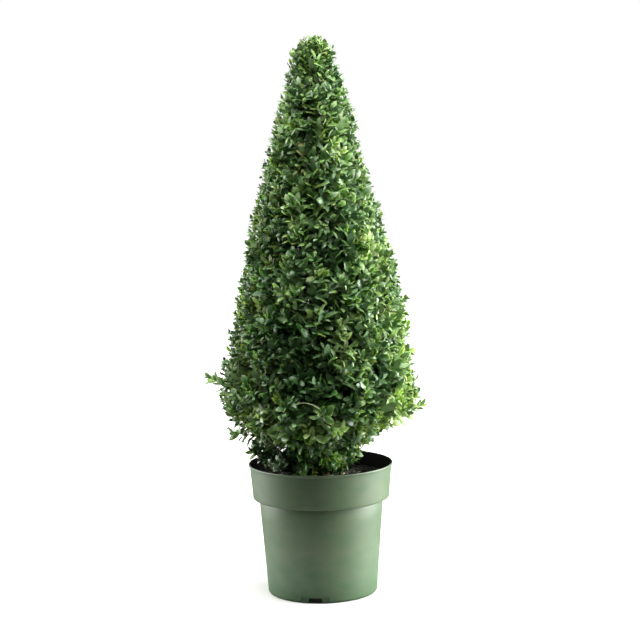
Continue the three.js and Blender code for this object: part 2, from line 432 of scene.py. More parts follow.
def plan_tip_shoots():
    """Upright shoots that fill the small flat top."""
    shoots = []
    for k in range(TIP_SHOOTS):
        share = (k + 0.5) / TIP_SHOOTS
        lean = math.sqrt(share) * 0.5
        angle = k * GOLDEN_ANGLE
        across = math.sin(lean)
        heading = Vector((across * math.cos(angle), across * math.sin(angle), math.cos(lean)))
        foot = Vector((0, 0, crown_top - rng.uniform(64, 100) * MM))
        top = crown_top - rng.uniform(0, 10) * MM - 30 * MM * share
        reach = (top - foot.z) / heading.z
        shoot = Shoot(foot + heading * reach, heading, reach * 0.8, MASSES[-1], sag=0, vigour=0.8)
        shoot.pace = 0.9
        shoot.tone = (YOUNGEST, OLIVE, FRESH, FRESH)[k % 4]
        shoots.append(shoot)
    return shoots


shoots += plan_tip_shoots()
print(TIP_SHOOTS, "shoots at the tip")

# %% Shoots low in front and over the rim
LOW_SHOOTS = 9
LOW_MIDDLE, LOW_SPACING = -104, 7  # degrees round the stem
LOW_LEVEL, LOW_WAVE = 116 * MM, 22 * MM  # above the crown's foot, and up and down from there
RIM_SHOOTS = 24


def plan_low_front_shoots():
    """A few strong shoots with large leaves, which grew from the low front after clipping."""
    shoots = []
    for k in range(LOW_SHOOTS):
        angle = math.radians(LOW_MIDDLE + LOW_SPACING * (k - LOW_SHOOTS // 2))
        point, _ = outline_at(angle, crown_low + LOW_LEVEL + LOW_WAVE * math.sin(k * 2.3))
        outward = level_way(angle)
        heading = outward + UP * rng.uniform(0.3, 0.7) + Vector((rng.gauss(0, 0.3), 0, 0))
        shoot = Shoot(point + outward * 2 * MM, heading, 50 * MM, mass_at(point.z), vigour=1.1)
        shoot.tone = (DARK, MID, FRESH)[k % 3]
        shoots.append(shoot)
    return shoots


def plan_rim_shoots():
    """Low shoots that hang towards the pot's rim, mostly on the left."""
    shoots = []
    for k in range(RIM_SHOOTS):
        far = k % 3 == 0
        angle = math.radians(172 + (1.1 if far else 3.4) * k + rng.gauss(0, 3))
        outward = level_way(angle)
        radius = (rng.uniform(98, 122) if far else rng.uniform(58, 102)) * MM
        height = POT_TOP + (radius - 82 * MM) * 0.75 + rng.uniform(-4, 10) * MM
        heading = outward + UP * rng.uniform(-0.5, 0.4)
        shoot = Shoot(outward * radius + UP * height, heading, 42 * MM, SPRIG_MASS, sag=0.3, vigour=0.9)
        shoot.tone = (DEEP, DARK, MID)[k % 3]
        shoots.append(shoot)
    return shoots


shoots += plan_low_front_shoots() + plan_rim_shoots()
print(LOW_SHOOTS, "low shoots in front and", RIM_SHOOTS, "over the rim")

# %% Shoots that the shears missed
HEADS_UP = 330 * MM  # a sprig above this height heads up to the light
TIP_RAISED = 350 * MM  # and one above this ends higher


def plan_sprig_shoots():
    """Two shoots for each packed sprig, one to either side of the line from the stem."""
    shoots = []
    for name in SPRIGS:
        low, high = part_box(name)
        middle = (low + high) / 2
        outward = Vector((middle.x, middle.y, 0)).normalized()
        for side, tone in ((-1, FRESH), (1, YOUNGEST)):
            across = outward.cross(UP) * side * 0.35
            heading = outward * 0.7 + across + UP * (0.55 if middle.z > HEADS_UP else 0.1)
            tip = middle + across * 14 * MM + UP * (9 * MM if middle.z > TIP_RAISED else 0)
            shoot = Shoot(tip, heading, 46 * MM, SPRIG_MASS, sag=0.05, vigour=1.0)
            shoot.pace = 1.5
            shoot.thickness = 0.85 * MM
            shoot.tone = tone
            shoots.append(shoot)
    return shoots


shoots += plan_sprig_shoots()
print(len(SPRIGS), "sprigs of two shoots")

# %% Shoots inside
INNER_SHOOTS = 860
INNER_DEPTHS = (26 * MM, 80 * MM)
CORE = 22 * MM  # no leaves this close to the stem


def plan_inner_shoots():
    """Older dark growth behind the clipped face, where the crown is thick enough to hold it."""
    shoots = []
    for k, height in enumerate(even_heights(INNER_SHOOTS)):
        angle = k * GOLDEN_ANGLE + 1.3
        point, normal = outline_at(angle, height)
        if point is None:
            continue
        depth = rng.uniform(*INNER_DEPTHS)
        if off_axis(point) < depth + CORE:
            continue
        heading = level_way(angle) + UP * 0.6 + jitter(0.4)
        shoot = Shoot(point - normal * depth, heading, 44 * MM, INSIDE)
        shoot.vigour *= 1.15
        shoot.pace = 1.2
        shoots.append(shoot)
    return shoots


inner_shoots = plan_inner_shoots()
print(len(shoots), "outer shoots and", len(inner_shoots), "inner ones")

# %% [markdown]
# Fresh growth comes in patches the size of a bough. Where a spray stands also sets its colour, as painted
# light and shade: lighter on the lit right and high in front, darker on the left, low down, in the thin
# place and at the very top. The left has the most olive sprays.

# %% Deal out the colours
PATCH = 70 * MM


def deal_tone(shoot):
    """A colour group by place and by chance. The place paints light and shade: lighter on the lit right and
    high in front, darker on the left, low down, in the thin place and at the very top.
    """
    if rng.random() < 0.012 and shoot.tip.x < 0:
        shoot.vigour *= 0.65  # dried leaves shrink
        return BRONZE
    share = height_share(shoot.tip.z)
    # painted light: how far a spray stands towards the bright lamp on the right, from -1 on the left to 1 on
    # the right
    toward_lit_right = shoot.tip.x / SKIRT_RADIUS
    seen = (max(0, -shoot.tip.y) + 0.6 * max(0, -shoot.tip.x)) / off_axis(shoot.tip)
    if rng.random() < 0.06 - 0.36 * min(0, toward_lit_right):
        return OLIVE
    level = 2.3 + 1.6 * noise.noise(shoot.tip / PATCH) + rng.gauss(0, 0.75)
    # painted light and shade: lighter on the lit right, most of all low down there; lighter high in front and
    # darker low in front, for the light from above; darker at the foot, in the thin place and at the very top
    level += 1.3 * toward_lit_right + max(0, toward_lit_right) * (0.3 + 2.4 * ramp(share, 0.45, 0))
    level += 2.6 * seen * (share - 0.4) - 1.5 * thin_at(shoot.tip)
    level -= 1.6 * ramp(share, 0.25, 0) + 0.4 * ramp(share, 0.85, 1)
    freshest = YOUNGEST if toward_lit_right > 0.2 else FRESH
    return min(freshest, max(DEEP, round(level)))


YOUNG_BELOW = crown_top - 90 * MM  # the tip is dealt its young shoots already
for shoot in shoots:
    shoot.tone = shoot.tone or deal_tone(shoot)
    growing = shoot.tone <= YOUNGEST and rng.random() < 0.3
    shoot.young = int(growing and shoot.tip.z < YOUNG_BELOW)
shoots += inner_shoots
print("sprays in each colour group", [sum(s.tone == t for s in shoots) for t in range(len(TONES))])

# %% [markdown]
# ## Boughs
#
# The skeleton could fork by fixed angles from the stem up, but its ends would then miss the shoots.
# Here it grows towards the shoots that it has to feed. A limb that feeds many shoots heads for their
# middle, forks part of the way there, and each fork does the same with its own share. That gives a
# real shrub's pattern, thick and few inside, thin and many outside, with no limb that ends in nothing.
# A limb's thickness follows the number of shoots beyond it.

# %% The stem's place and the leader
stem_low, stem_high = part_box("stem")
stem_vertices = [vertex.co.copy() for vertex in frame["nodes"]["stem"].data.vertices]
LEADER_STEP = 26 * MM


def stem_ring(height):
    """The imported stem's ring of vertices nearest to a height."""
    nearest = min(stem_vertices, key=lambda co: abs(co.z - height)).z
    return [co for co in stem_vertices if abs(co.z - nearest) < 1.5 * MM]


def stem_centre(height):
    ring = stem_ring(height)
    return sum(ring, Vector()) / len(ring)


fork = stem_centre(stem_high.z)
leader = [fork]
while leader[-1].z < crown_top - 75 * MM:
    sway = Vector((rng.gauss(0, 2.4), rng.gauss(0, 2.4), 0)) * MM
    home = Vector((-fork.x, -fork.y, 0)) * 0.04
    leader.append(leader[-1] + UP * LEADER_STEP + sway + home)
print("the stem forks at", round(fork.z, 3), "m and its leader ends at", round(leader[-1].z, 3), "m")

# %% The growing rule
TWIG_RADIUS = 0.6 * MM  # of a twig that feeds one shoot


def limb_radius(fed):
    return TWIG_RADIUS * fed**0.37


class Limb:
    """One tapering limb as points with a radius at each."""

    def __init__(self, points, start_radius, end_radius):
        self.points = points
        self.radii = np.linspace(start_radius, end_radius, len(points)).tolist()


def split_in_two(group):
    """Splits shoots across their longest spread."""
    bases = np.array([shoot.base[:] for shoot in group])
    centred = bases - bases.mean(axis=0)
    axis = np.linalg.svd(centred, full_matrices=False)[2][0]
    order = np.argsort(centred @ axis)
    cut = round(len(group) * rng.uniform(0.38, 0.62))
    cut = min(len(group) - 1, max(1, cut))
    return [group[i] for i in order[:cut]], [group[i] for i in order[cut:]]


def grow(start, group, limbs, start_radius):
    """Adds the limbs that feed a group of shoots from one starting point."""
    centre = sum((shoot.base for shoot in group), Vector()) / len(group)
    alone = len(group) == 1
    reach = 1.0 if alone else rng.uniform(0.36, 0.5)
    end = start.lerp(centre, reach)
    distance = (end - start).length
    bow = Vector((rng.gauss(0, 1), rng.gauss(0, 1), rng.gauss(-0.6, 0.6))) * distance * 0.1
    points = curved(start, (start + end) / 2 + bow, end, 2 if distance < 30 * MM else 3)
    end_radius = limb_radius(len(group))
    limbs.append(Limb(points, min(start_radius, end_radius * 1.25), end_radius))
    if not alone:
        for share in split_in_two(group):
            grow(end, share, limbs, end_radius)


print("a bough that feeds 100 shoots has a radius of", round(limb_radius(100) / MM, 1), "mm")

# %% Share the shoots out along the leader
BOUGHS_AT_FORK = 9
BOUGHS_ABOVE = 3


def feeding_node(shoot):
    """Which step of the leader feeds a shoot: boughs rise at about 45 degrees."""
    level = shoot.base.z - 0.95 * off_axis(shoot.base)
    step = round((level - fork.z) / LEADER_STEP)
    return min(len(leader) - 1, max(0, step))


limbs = []
sectors = {}
for shoot in shoots:
    node = feeding_node(shoot)
    count = BOUGHS_ABOVE if node else BOUGHS_AT_FORK
    turn = math.atan2(shoot.base.y, shoot.base.x) / math.tau + node * 0.382
    sectors.setdefault((node, int(turn * count % count)), []).append(shoot)
for (node, _), group in sorted(sectors.items()):
    start = leader[node] - UP * (rng.uniform(0, 30) * MM if node == 0 else 0)
    grow(start, group, limbs, limb_radius(len(group)))
print(len(sectors), "boughs,", len(limbs), "limbs and twigs, leader", len(leader), "steps")

# %% [markdown]
# ## From paths to solid limbs
#
# Thousands of twigs follow paths. Curve objects with a bevel would do for a few of them, but this many
# is a job for Geometry Nodes: the paths go in as loose edges with a thickness at each point, each
# becomes a curve, and a small polygon is swept along it.

# %% Paths as a guide object
def paths_object(name, paths, thicknesses=None, **attributes):
    """Chains of edges. Each attribute holds one whole number or decimal for each path."""
    vertices, edges, owner = [], [], []
    for number, path in enumerate(paths):
        first = len(vertices)
        vertices += path
        owner += [number] * len(path)
        edges += [(i, i + 1) for i in range(first, len(vertices) - 1)]
    mesh = new_mesh(name, vertices, [], edges)
    if thicknesses:
        set_attribute(mesh, "thickness", "FLOAT", "POINT", [r for radii in thicknesses for r in radii])
    for key, values in attributes.items():
        kind = "INT" if isinstance(values[0], int) else "FLOAT"
        set_attribute(mesh, key, kind, "POINT", [values[number] for number in owner])
    return new_object(name, mesh)


def limb_tree():
    tree, ins = new_geometry_tree("swept_limbs", {"Sides": ("Int", 4), "Bark": ("Material", None)})
    curves = add_node(tree, "GeometryNodeMeshToCurve", {"Mesh": ins["Geometry"]})
    thickness = add_node(tree, "GeometryNodeInputNamedAttribute", {"Name": "thickness"}, data_type="FLOAT")
    section = add_node(tree, "GeometryNodeCurvePrimitiveCircle", {"Resolution": ins["Sides"], "Radius": 1.0})
    sweep = {"Curve": curves, "Profile Curve": section, "Scale": thickness, "Fill Caps": True}
    swept = add_node(tree, "GeometryNodeCurveToMesh", sweep)
    real = add_node(tree, "GeometryNodeRealizeInstances", {"Geometry": swept})
    smooth = add_node(tree, "GeometryNodeSetShadeSmooth", {"Geometry": real})
    done = add_node(tree, "GeometryNodeSetMaterial", {"Geometry": smooth, "Material": ins["Bark"]})
    add_node(tree, "NodeGroupOutput", {"Geometry": done})
    return tree


def swept_limbs(name, paths, thicknesses, sides, material):
    guide = paths_object(name + "_paths", paths, thicknesses)
    piece = made_by_nodes(name, guide, limb_nodes, {"Sides": sides, "Bark": material})
    print(name, triangles(piece), "triangles")
    return piece


limb_nodes = limb_tree()
print("limb tree of", len(limb_nodes.nodes), "nodes")

# %% [markdown]
# ## Bark and young stems
#
# Old boxwood is covered in thin grey-tan bark, cracked into small plates, with a dull surface. Twigs are
# a plain greenish brown, and this year's stems are smooth and green. All of them could share the bark,
# but only the stem and the boughs are thick enough to show a pattern, so only they get one.

# %% Bark and stem materials
BARK_PLATE = 2.4 * MM


def bark_material():
    """Dull corky bark: pale plates, dark cracks between them, drawn out upwards."""
    material = new_material("boxwood_bark", "#7c6c50", 0.85)
    tree = material.node_tree
    place = add_node(tree, "ShaderNodeTexCoord").outputs["Object"]
    stretch = add_node(tree, "ShaderNodeMapping", {"Vector": place, "Scale": (1, 1, 0.3)})
    plates = {"Vector": stretch, "Scale": 1 / BARK_PLATE, "Detail": 4.0}
    plates = add_node(tree, "ShaderNodeTexNoise", plates)
    add_pattern(material, plates, ("#4d4130", "#93825f"), (0.35, 0.68), plates, 0.6, 0.6 * MM)
    return material


bark = bark_material()
green_stem = new_material("young_boxwood_stem", "#6f7f3f", 0.55)  # a thin smooth skin, with some shine
brown_twig = new_material("boxwood_twig", "#5e5b38", 0.8)  # dull young bark, still greenish
print("bark plates of", BARK_PLATE / MM, "mm")

# %% Sweep the twigs and the shoots' stems
THICK = 2.2 * MM  # radius from which a limb shows its bark
thin = [limb for limb in limbs if limb.radii[0] < THICK]
thick = [limb for limb in limbs if limb.radii[0] >= THICK]
twigs = swept_limbs("twigs", [limb.points for limb in thin], [limb.radii for limb in thin], 3, brown_twig)
shoot_taper = np.linspace(1, 0.45, 5)
shoot_paths = [shoot.path() for shoot in shoots]
shoot_radii = [(shoot.thickness * shoot_taper).tolist() for shoot in shoots]
shoot_stems = swept_limbs("shoot_stems", shoot_paths, shoot_radii, 3, green_stem)
print(len(thick), "boughs stay thick")

# %% [markdown]
# Clipping also leaves cut ends that die back. They show as short crooked twigs, tan and bare, between
# the leaves. Low in front, one bare stalk has bent over in an arch. The same tree sweeps them, with
# more sides, because nothing hides them.

# %% Dry twigs
DRY_TWIGS = 190
DRY_TAPER = [0.95 * MM, 0.9 * MM, 0.8 * MM, 0.7 * MM, 0.45 * MM]
ARCH_FROM, ARCH_TO = math.radians(-107), math.radians(-88)
ARCH_LEVEL = crown_low + 147 * MM
ARCH_STEPS = 12
dry_wood = new_material("dry_boxwood_twig", "#909a6a", 0.85)  # bleached and dull, with the bark gone
chance = random.Random(7)


def dry_twig(shoot):
    """A twig from a shoot's foot to a place near its tip."""
    aside = Vector([chance.uniform(-11, 11) for _ in range(3)]) * MM
    bow = Vector([chance.uniform(-8, 8) for _ in range(3)]) * MM
    end = shoot.tip + shoot.heading * 3 * MM + aside
    return curved(shoot.base, (shoot.base + end) / 2 + bow, end, len(DRY_TAPER) - 1)


def arched_stalk():
    """The bare stalk: out through the face, over in an arch, and back in."""
    points = []
    for i in range(ARCH_STEPS + 1):
        t = i / ARCH_STEPS
        level = ARCH_LEVEL + (13 * math.sin(math.pi * t) - 6 * t) * MM
        face, normal = outline_at(ARCH_FROM + (ARCH_TO - ARCH_FROM) * t, level)
        points.append(face + normal * (14 * math.sin(math.pi * min(0.8, t)) - 8) * MM)
    return points


clipped_shoots = [shoot for shoot in shoots if shoot.mass in MASSES]
dry_paths = [dry_twig(shoot) for shoot in chance.sample(clipped_shoots, DRY_TWIGS)]
dry_radii = [DRY_TAPER] * DRY_TWIGS
dry_paths.append(arched_stalk())
dry_radii.append([DRY_TAPER[0]] * (ARCH_STEPS + 1))
dry_twigs = swept_limbs("dry_twigs", dry_paths, dry_radii, 5, dry_wood)

# %% [markdown]
# ## The stem and its boughs
#
# The stem and the thick boughs show their bark. Bump alone would leave their edges smooth, so each is
# swept as a finer tube whose surface is pushed in and out by a noise that is stretched along the limb,
# like the plates of the bark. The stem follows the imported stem's own rings, with its lean and flare.

# %% Limbs with relief
GRAIN = Vector((260, 260, 60))  # furrows in a metre: about 4 mm apart across the stem, 17 mm along it
FULL_RELIEF_RADIUS = 6 * MM  # thinner limbs have shallower bark


def relief_tube(path, radii, sides, relief):
    """Vertices and faces of a closed tube with bark relief."""
    vertices, faces = [], []
    turn = None
    for i, (centre, radius) in enumerate(zip(path, radii)):
        ahead = (path[min(i + 1, len(path) - 1)] - path[max(i - 1, 0)]).normalized()
        turn = ahead.to_track_quat("Z", "Y") if turn is None else turn
        turn = (turn @ UP).rotation_difference(ahead) @ turn
        for k in range(sides):
            outward = turn @ level_way(k * math.tau / sides)
            point = centre + outward * radius
            push = noise.noise(point * GRAIN) * relief * min(1, radius / FULL_RELIEF_RADIUS)
            vertices.append(point + outward * push)
    rows = len(path)
    for i in range(rows - 1):
        for k in range(sides):
            a, b = i * sides + k, i * sides + (k + 1) % sides
            faces.append((a, b, b + sides, a + sides))
    faces.append(tuple(reversed(range(sides))))
    faces.append(tuple(range((rows - 1) * sides, rows * sides)))
    return vertices, faces


def resampled(points, step):
    """More points along a path, by straight lines between its own."""
    result = [points[0]]
    for a, b in zip(points, points[1:]):
        pieces = max(1, round((b - a).length / step))
        result += [a.lerp(b, (i + 1) / pieces) for i in range(pieces)]
    return result


def packed_stem_radius(height):
    centre = stem_centre(height)
    return max((co - centre).length for co in stem_ring(height))


# %% Stem, leader and boughs in one mesh
LEADER_RADII = (7.5 * MM, 1.2 * MM)
STEM_SHARE = 0.96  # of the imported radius, which leaves room for the relief
STEM_RINGS = 36
STEM_READINGS = 10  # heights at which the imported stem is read


def stem_path():
    """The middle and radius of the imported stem, in finer steps."""
    heights = np.linspace(stem_low.z, stem_high.z, STEM_RINGS)
    known = np.linspace(stem_low.z, stem_high.z, STEM_READINGS)
    centres = [stem_centre(h) for h in known]
    across = np.interp(heights, known, [c.x for c in centres])
    deep = np.interp(heights, known, [c.y for c in centres])
    radii = np.interp(heights, known, [packed_stem_radius(h) for h in known])
    return [Vector(place) for place in zip(across, deep, heights)], (radii * STEM_SHARE).tolist()


def stem_and_boughs():
    vertices, faces = [], []

    def add(path, radii, sides, relief):
        new_vertices, new_faces = relief_tube(path, radii, sides, relief)
        start = len(vertices)
        vertices.extend(new_vertices)
        faces.extend([tuple(start + i for i in face) for face in new_faces])

    add(*stem_path(), 32, 1.2 * MM)
    leader_path = resampled(leader, 9 * MM)
    add(leader_path, np.linspace(*LEADER_RADII, len(leader_path)).tolist(), 14, 0.8 * MM)
    for limb in thick:
        bough = resampled(limb.points, 8 * MM)
        add(bough, np.linspace(limb.radii[0], limb.radii[-1], len(bough)).tolist(), 9, 0.6 * MM)
    mesh = new_mesh("stem_and_boughs", vertices, faces)
    mesh.shade_smooth()
    return new_object("stem_and_boughs", mesh, [bark])


stem = stem_and_boughs()
print("stem and boughs", triangles(stem), "triangles")

# %% [markdown]
# ## Leaves
#
# A boxwood leaf is a small thick oval, most often 13 to 25 mm long and about half as wide, arched a
# little along and across. A flat card with a cut-out picture is the usual short cut, but it is thin as
# paper from the side. Each leaf here is a closed lens of 24 triangles: four pairs of edge points, a
# base, a tip and a raised midrib above a flat underside. Five forms, from broad to narrow, keep the
# leaves from looking stamped.

# %% Leaf materials
# A thick leaf lets some light into its flesh, most of it green, and the wax on top gives a soft gloss.
# The underside has little wax: it is paler, duller, and darkest where the crown shades it.
FLESH = dict(Subsurface_Weight=0.5, Subsurface_Radius=(0.7, 1.0, 0.3), Subsurface_Scale=2 * MM)
leaf_tops = [new_material(name, colour, 0.47, IOR=wax, **FLESH) for name, (colour, wax) in TONES.items()]
underside = new_material("leaf_underside", "#5f8056", 0.6, IOR=1.4)
young_underside = new_material("young_leaf_underside", "#86a76c", 0.6, IOR=1.4)
shaded_underside = new_material("shaded_leaf_underside", "#386020", 0.7, IOR=1.3)
print("leaf materials", [material.name for material in leaf_tops])

# %% Leaf forms
# Half width of a leaf of length 1, and how far it arches across, droops along and twists.
LEAF_FORMS = {
    "broad_oval": dict(half=0.29, arch=0.07, droop=0.06, twist=0.0),
    "oval": dict(half=0.25, arch=0.065, droop=0.12, twist=0.15),
    "narrow_oval": dict(half=0.195, arch=0.06, droop=0.05, twist=-0.15),
    "hollowed_oval": dict(half=0.245, arch=0.03, droop=-0.12, twist=0.05),
    "curled_oval": dict(half=0.215, arch=0.065, droop=0.2, twist=0.3),
}
STATIONS = [(0.14, 0.56), (0.37, 0.95), (0.64, 0.97), (0.87, 0.57)]  # place along, share of the width
STALK = 0.04


def leaf_form(name, half, arch, droop, twist):
    """A leaf of length 1 along +Y that faces +Z."""

    def at(across, along, lift):
        angle = twist * (along - 0.5)
        sag = -droop * (2 * along - 0.6) ** 2
        return (across * math.cos(angle), STALK + along, lift + sag + across * math.sin(angle))

    vertices = [at(0, 0, 0)]
    for along, share in STATIONS:
        width = half * share
        vertices += [at(-width, along, 0), at(0, along, arch * share), at(width, along, 0)]
    vertices.append(at(0, 1, 0))
    tip = len(vertices) - 1
    tops = [(0, 2, 1), (0, 3, 2)]
    unders = [(0, 1, 3)]
    for left in range(1, tip - 3, 3):
        rib, right = left + 1, left + 2
        tops += [(left, rib, rib + 3, left + 3), (rib, right, right + 3, rib + 3)]
        unders.append((left, left + 3, right + 3, right))
    tops += [(tip - 3, tip - 2, tip), (tip - 2, tip - 1, tip)]
    unders.append((tip - 3, tip, tip - 1))
    mesh = new_mesh(name, vertices, tops + unders)
    set_attribute(mesh, "under", "BOOLEAN", "FACE", [False] * len(tops) + [True] * len(unders))
    left_rim = [0, *range(1, tip, 3), tip]
    right_rim = [0, *range(3, tip, 3), tip]
    rim = {frozenset(pair) for side in (left_rim, right_rim) for pair in zip(side, side[1:])}
    set_attribute(mesh, "sharp_edge", "BOOLEAN", "EDGE", [frozenset(e.vertices) in rim for e in mesh.edges])
    mesh.shade_smooth()
    return mesh


leaf_forms = bpy.data.collections.new("leaf_forms")
scene.collection.children.link(leaf_forms)
for name, form in LEAF_FORMS.items():
    leaf_forms.objects.link(bpy.data.objects.new(name, leaf_form(name, **form)))
print(len(leaf_forms.objects), "leaf forms of", triangles(leaf_forms.objects[0]), "triangles")

# %% [markdown]
# A particle system could scatter leaves, but not in pairs on stems. The tree here walks along each
# shoot in even steps and sets a pair of leaves at each. Every pair stands a quarter turn from the pair
# below, as on the real plant. Low leaves stand well out from the stem, and the youngest close up round
# its end, where they are smaller and often lighter.

# %% The leafy shoot tree
PAIR_SPACING = 7.6 * MM
LEAF_LENGTH = 22 * MM
BARE_SHARE = 0.3  # of a shoot, at its foot
RISE = (0.45, 0.95)  # of the lowest and the last leaves towards the shoot's end, in radians
LAST_SIZE = 0.7  # of the last leaves, from 1 at the place where they start to get smaller
SMALLER_FROM = 0.6  # of the way along a shoot
YOUNG_FROM = 0.62
CHANCES = {  # least, most and what is added to the seed
    "turn": (-0.35, 0.35, 1),
    "rise": (-0.4, 0.4, 2),
    "roll": (-0.6, 0.6, 3),
    "size": (0.62, 1.25, 4),
    "form": (0.0, len(LEAF_FORMS) - 0.01, 6),
}
SHOOT_ATTRIBUTES = {"tone": "INT", "young": "INT", "phase": "FLOAT", "vigour": "FLOAT", "pace": "FLOAT"}
TREE_ATTRIBUTES = {"pair": "INT", "along": "FLOAT", "under": "BOOLEAN"}


def leafy_shoot_tree():
    inputs = {
        "Pair Spacing": ("Float", PAIR_SPACING),
        "Leaf Length": ("Float", LEAF_LENGTH),
        "Bare Share": ("Float", BARE_SHARE),
        "Seed": ("Int", 0),
        "Leaf Forms": ("Collection", None),
    }
    tree, ins = new_geometry_tree("leafy_shoots", inputs)
    chances = {}
    for what, (least, most, salt) in CHANCES.items():
        seed = add_node(tree, "ShaderNodeMath", {0: ins["Seed"], 1: salt}, operation="ADD")
        chances[what] = add_node(tree, "FunctionNodeRandomValue", {2: least, 3: most, "Seed": seed})
    kept = {}
    for name, kind in {**SHOOT_ATTRIBUTES, **TREE_ATTRIBUTES}.items():
        kept[name] = add_node(tree, "GeometryNodeInputNamedAttribute", {"Name": name}, data_type=kind)

    # Walk along each shoot and keep the leafy part, twice over for the two leaves of a pair.
    walked = add_node(tree, "GeometryNodeMeshToCurve", {"Mesh": ins["Geometry"]})
    step = {0: ins["Pair Spacing"], 1: kept["pace"]}
    step = add_node(tree, "ShaderNodeMath", step, operation="MULTIPLY")
    walked = add_node(tree, "GeometryNodeResampleCurve", {"Curve": walked, "Length": step}, mode="LENGTH")
    spline = add_node(tree, "GeometryNodeSplineParameter").outputs
    for name, source in (("pair", spline["Index"]), ("along", spline["Factor"])):
        record = {"Geometry": walked, "Name": name, "Value": source}
        walked = add_node(tree, "GeometryNodeStoreNamedAttribute", record, data_type=TREE_ATTRIBUTES[name])
    points = add_node(tree, "GeometryNodeCurveToPoints", {"Curve": walked}, mode="EVALUATED").outputs
    along = kept["along"]
    bare = add_node(tree, "ShaderNodeMath", {0: along, 1: ins["Bare Share"]}, operation="LESS_THAN")
    leafy = add_node(tree, "GeometryNodeDeleteGeometry", {"Geometry": points["Points"], "Selection": bare})
    both = add_node(tree, "GeometryNodeDuplicateElements", {"Geometry": leafy, "Amount": 2}, domain="POINT")

    # Turn each leaf round the stem, then let it rise, then roll it a little.
    second = both.outputs["Duplicate Index"]
    turn = add_node(tree, "ShaderNodeMath", {0: second, 1: math.pi}, operation="MULTIPLY")
    quarter_turns = add_node(tree, "ShaderNodeMath", {0: kept["pair"], 1: math.pi / 2}, operation="MULTIPLY")
    for more in (quarter_turns, kept["phase"], chances["turn"]):
        turn = add_node(tree, "ShaderNodeMath", {0: turn, 1: more}, operation="ADD")
    closing = {"Value": along, "From Min": BARE_SHARE, "To Min": RISE[0], "To Max": RISE[1]}
    closing = add_node(tree, "ShaderNodeMapRange", closing)
    rise = add_node(tree, "ShaderNodeMath", {0: closing, 1: chances["rise"]}, operation="ADD")
    axes = {"Primary Axis": points["Tangent"], "Secondary Axis": points["Normal"]}
    rotation = add_node(tree, "FunctionNodeAxesToRotation", axes, primary_axis="Z", secondary_axis="X")
    for axis, angle in (((0, 0, 1), turn), ((1, 0, 0), rise), ((0, 1, 0), chances["roll"])):
        by = add_node(tree, "FunctionNodeAxisAngleToRotation", {"Axis": axis, "Angle": angle})
        turning = {"Rotation": rotation, "Rotate By": by}
        rotation = add_node(tree, "FunctionNodeRotateRotation", turning, rotation_space="LOCAL")

    # Size each leaf, set it and make it real.
    ageing = {"Value": along, "From Min": SMALLER_FROM, "To Min": 1.0, "To Max": LAST_SIZE}
    size = ins["Leaf Length"]
    for share in (add_node(tree, "ShaderNodeMapRange", ageing), chances["size"], kept["vigour"]):
        size = add_node(tree, "ShaderNodeMath", {0: size, 1: share}, operation="MULTIPLY")
    choice = {"Collection": ins["Leaf Forms"], "Separate Children": True}
    forms = add_node(tree, "GeometryNodeCollectionInfo", choice)
    setting = {
        "Points": both,
        "Instance": forms,
        "Pick Instance": True,
        "Instance Index": chances["form"],
        "Rotation": rotation,
        "Scale": size,
    }
    leaves = add_node(tree, "GeometryNodeInstanceOnPoints", setting)
    leaves = add_node(tree, "GeometryNodeRealizeInstances", {"Geometry": leaves})

    # Colour the tops by the spray's group, then the undersides over that.
    at_end = add_node(tree, "ShaderNodeMath", {0: along, 1: YOUNG_FROM}, operation="GREATER_THAN")
    younger = add_node(tree, "ShaderNodeMath", {0: kept["young"], 1: at_end}, operation="MULTIPLY")
    tone = add_node(tree, "ShaderNodeMath", {0: kept["tone"], 1: younger}, operation="ADD")
    finishes = []
    for number, material in enumerate(leaf_tops):
        same = add_node(tree, "ShaderNodeMath", {0: tone, 1: number, 2: 0.5}, operation="COMPARE")
        finishes.append((same, material))
    finishes.append((kept["under"], underside))
    pale, dark = ("GREATER_THAN", MID + 0.5), ("LESS_THAN", SHADED + 0.5)
    for (test, limit), material in ((pale, young_underside), (dark, shaded_underside)):
        tested = add_node(tree, "ShaderNodeMath", {0: tone, 1: limit}, operation=test)
        both_true = add_node(tree, "ShaderNodeMath", {0: kept["under"], 1: tested}, operation="MULTIPLY")
        finishes.append((both_true, material))
    for which, material in finishes:
        finish = {"Geometry": leaves, "Selection": which, "Material": material}
        leaves = add_node(tree, "GeometryNodeSetMaterial", finish)
    add_node(tree, "NodeGroupOutput", {"Geometry": leaves})
    return tree


leaf_nodes = leafy_shoot_tree()
print("leafy shoot tree of", len(leaf_nodes.nodes), "nodes")

# %% [markdown]
# The shears leave no leaf far outside the outline. A leaf whose end stands out past it is made shorter
# about its own foot, which keeps it a whole leaf: shears would leave cut edges, but new growth has
# hidden those. The left side was clipped closest, and the front least.

# %% Trim the leaves to the outline
LEAF_CORNERS = 3 * len(STATIONS) + 2
SHORTEST = 0.4
TABLE_ANGLES = np.linspace(-math.pi, math.pi, 73)
TABLE_HEIGHTS = np.arange(crown_low + 2 * MM, crown_top - 1 * MM, 6 * MM)


def outline_table():
    """The outline's radius at each table angle and height."""
    table = np.zeros((len(TABLE_ANGLES), len(TABLE_HEIGHTS)))
    for i, angle in enumerate(TABLE_ANGLES):
        for j, height in enumerate(TABLE_HEIGHTS):
            point, _ = outline_at(angle, height)
            table[i, j] = off_axis(point) if point else table[i, j - 1]
    return table


RADII = outline_table()


